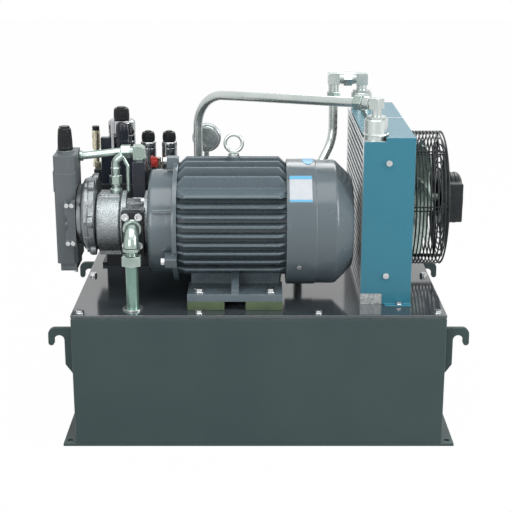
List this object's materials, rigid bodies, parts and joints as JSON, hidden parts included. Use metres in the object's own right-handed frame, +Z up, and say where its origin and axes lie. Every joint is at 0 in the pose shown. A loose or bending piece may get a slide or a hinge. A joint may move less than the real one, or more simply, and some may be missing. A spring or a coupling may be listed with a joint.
{
  "type": "hydraulic power unit with oil cooler",
  "caption": "Hydraulic power unit: oil tank, foot-mounted electric motor, pump, valve group and an air-blast oil cooler with fan, piped together on one lid.",
  "frame": {"origin": "centre of the tank's base, on the floor, at the middle of its four floor-bolt holes", "axes": "+Z up, +X along the motor's shaft from the pump towards the cooler, -Y the front"},
  "size_m": [0.854, 0.539, 0.6993],
  "materials": {
    "tank_paint": "satin sheet-metal paint, dark grey green",
    "motor_paint": "semi-gloss blue-grey enamel over rough castings",
    "pad_paint": "yellow-green primer",
    "cast_silver": "silver-painted rough sand casting",
    "regulator_grey": "machined and painted grey casting",
    "zinc": "zinc-plated steel, pale green passivation",
    "bright_steel": "bright plated steel",
    "shaft_steel": "ground steel",
    "valve_black": "black oxide, satin",
    "black_plastic": "black moulded plastic",
    "gasket_rubber": "black nitrile",
    "brass": "turned brass",
    "winding": "varnished laminations and windings",
    "teal_paint": "satin teal powder coat",
    "aluminium": "brazed aluminium, mill finish",
    "guard_wire": "black coated wire",
    "fan_metal": "bare sheet blades",
    "pointer_red": "red lacquer",
    "gauge_steel": "brushed stainless case",
    "window": "clear sight window in a plated body"
  },
  "bodies": {
    "unit": {"base_plate": "tank_paint", "tank_body": "tank_paint", "lid_gasket": "gasket_rubber", "tank_lid": "tank_paint", "lid_bolts": "bright_steel", "lifting_hooks": "tank_paint", "drain_plug": "zinc", "level_gauge": "window", "filler_neck": "zinc", "pipe_grommets": "zinc", "suction_strainer": "zinc", "suction_tube": "zinc", "suction_elbow": "zinc", "suction_port_block": "valve_black", "union_nuts": "zinc", "mounting_pads": "pad_paint", "foot_bolts": "bright_steel", "motor_frame": "motor_paint", "drive_end_bracket": "motor_paint", "rear_end_shield": "motor_paint", "stator_core": "winding", "motor_bearings": "shaft_steel", "fan_cowl": "motor_paint", "motor_screws": "bright_steel", "eye_bolt": "motor_paint", "terminal_box": "motor_paint", "pump_adapter": "cast_silver", "pump_housing": "cast_silver", "pump_flange": "cast_silver", "regulator_block": "regulator_grey", "pump_screws": "bright_steel", "case_drain_line": "zinc", "pilot_pipe": "zinc", "pressure_block": "valve_black", "valve_manifold": "valve_black", "solenoid_valve": "black_plastic", "relief_valve": "bright_steel", "cartridge_valves": "bright_steel", "needle_valve": "brass", "gauge_case": "gauge_steel", "cooler_core": "aluminium", "cooler_shroud": "teal_paint", "cooler_fittings": "zinc", "cooler_bolts": "bright_steel", "inlet_tube": "zinc", "return_tube": "zinc", "fan_guard": "guard_wire", "fan_motor": "black_plastic"},
    "motor_rotor": {"rotor_shaft": "shaft_steel", "motor_fan": "black_plastic", "shaft_coupling": "shaft_steel", "pump_rotor": "shaft_steel"},
    "cooler_fan": {"cooling_fan": "fan_metal"},
    "regulator_cap": {"regulator_cap": "black_plastic"},
    "relief_knob": {"relief_knob": "black_plastic"},
    "cartridge_knob_left": {"cartridge_knob_left": "black_plastic"},
    "cartridge_knob_right": {"cartridge_knob_right": "black_plastic"},
    "needle_knob": {"needle_knob": "black_plastic"},
    "gauge_needle": {"gauge_needle": "pointer_red"},
    "filler_cap": {"filler_cap": "black_plastic"}
  },
  "joints": [
    {"name": "motor_spin", "type": "hinge", "parent": "unit", "child": "motor_rotor", "pos_m": [0, -0.105, 0.43], "axis": [1, 0, 0], "continuous": true},
    {"name": "cooler_fan_spin", "type": "hinge", "parent": "unit", "child": "cooler_fan", "pos_m": [0.34, 0.022, 0.45], "axis": [1, 0, 0], "continuous": true},
    {"name": "regulator_cap_turn", "type": "hinge", "parent": "unit", "child": "regulator_cap", "pos_m": [-0.389, -0.105, 0.575], "axis": [0, 0, 1], "range_deg": [-360, 360]},
    {"name": "relief_knob_turn", "type": "hinge", "parent": "unit", "child": "relief_knob", "pos_m": [-0.3, 0.128, 0.6], "axis": [0, 0, 1], "range_deg": [-450, 450]},
    {"name": "cartridge_left_turn", "type": "hinge", "parent": "unit", "child": "cartridge_knob_left", "pos_m": [-0.2425, 0.128, 0.552], "axis": [0, 0, 1], "range_deg": [-450, 450]},
    {"name": "cartridge_right_turn", "type": "hinge", "parent": "unit", "child": "cartridge_knob_right", "pos_m": [-0.1965, 0.128, 0.552], "axis": [0, 0, 1], "range_deg": [-450, 450]},
    {"name": "needle_knob_turn", "type": "hinge", "parent": "unit", "child": "needle_knob", "pos_m": [-0.3575, 0.128, 0.576], "axis": [0, 0, 1], "range_deg": [0, 720]},
    {"name": "gauge_needle_swing", "type": "hinge", "parent": "unit", "child": "gauge_needle", "pos_m": [-0.1155, 0.148, 0.5525], "axis": [0, 1, 0], "range_deg": [0, 270], "stiffness_Nm_per_rad": 0.002},
    {"name": "filler_cap_turn", "type": "hinge", "parent": "unit", "child": "filler_cap", "pos_m": [0.02, 0.19, 0.28], "axis": [0, 0, 1], "range_deg": [0, 90]}
  ]
}
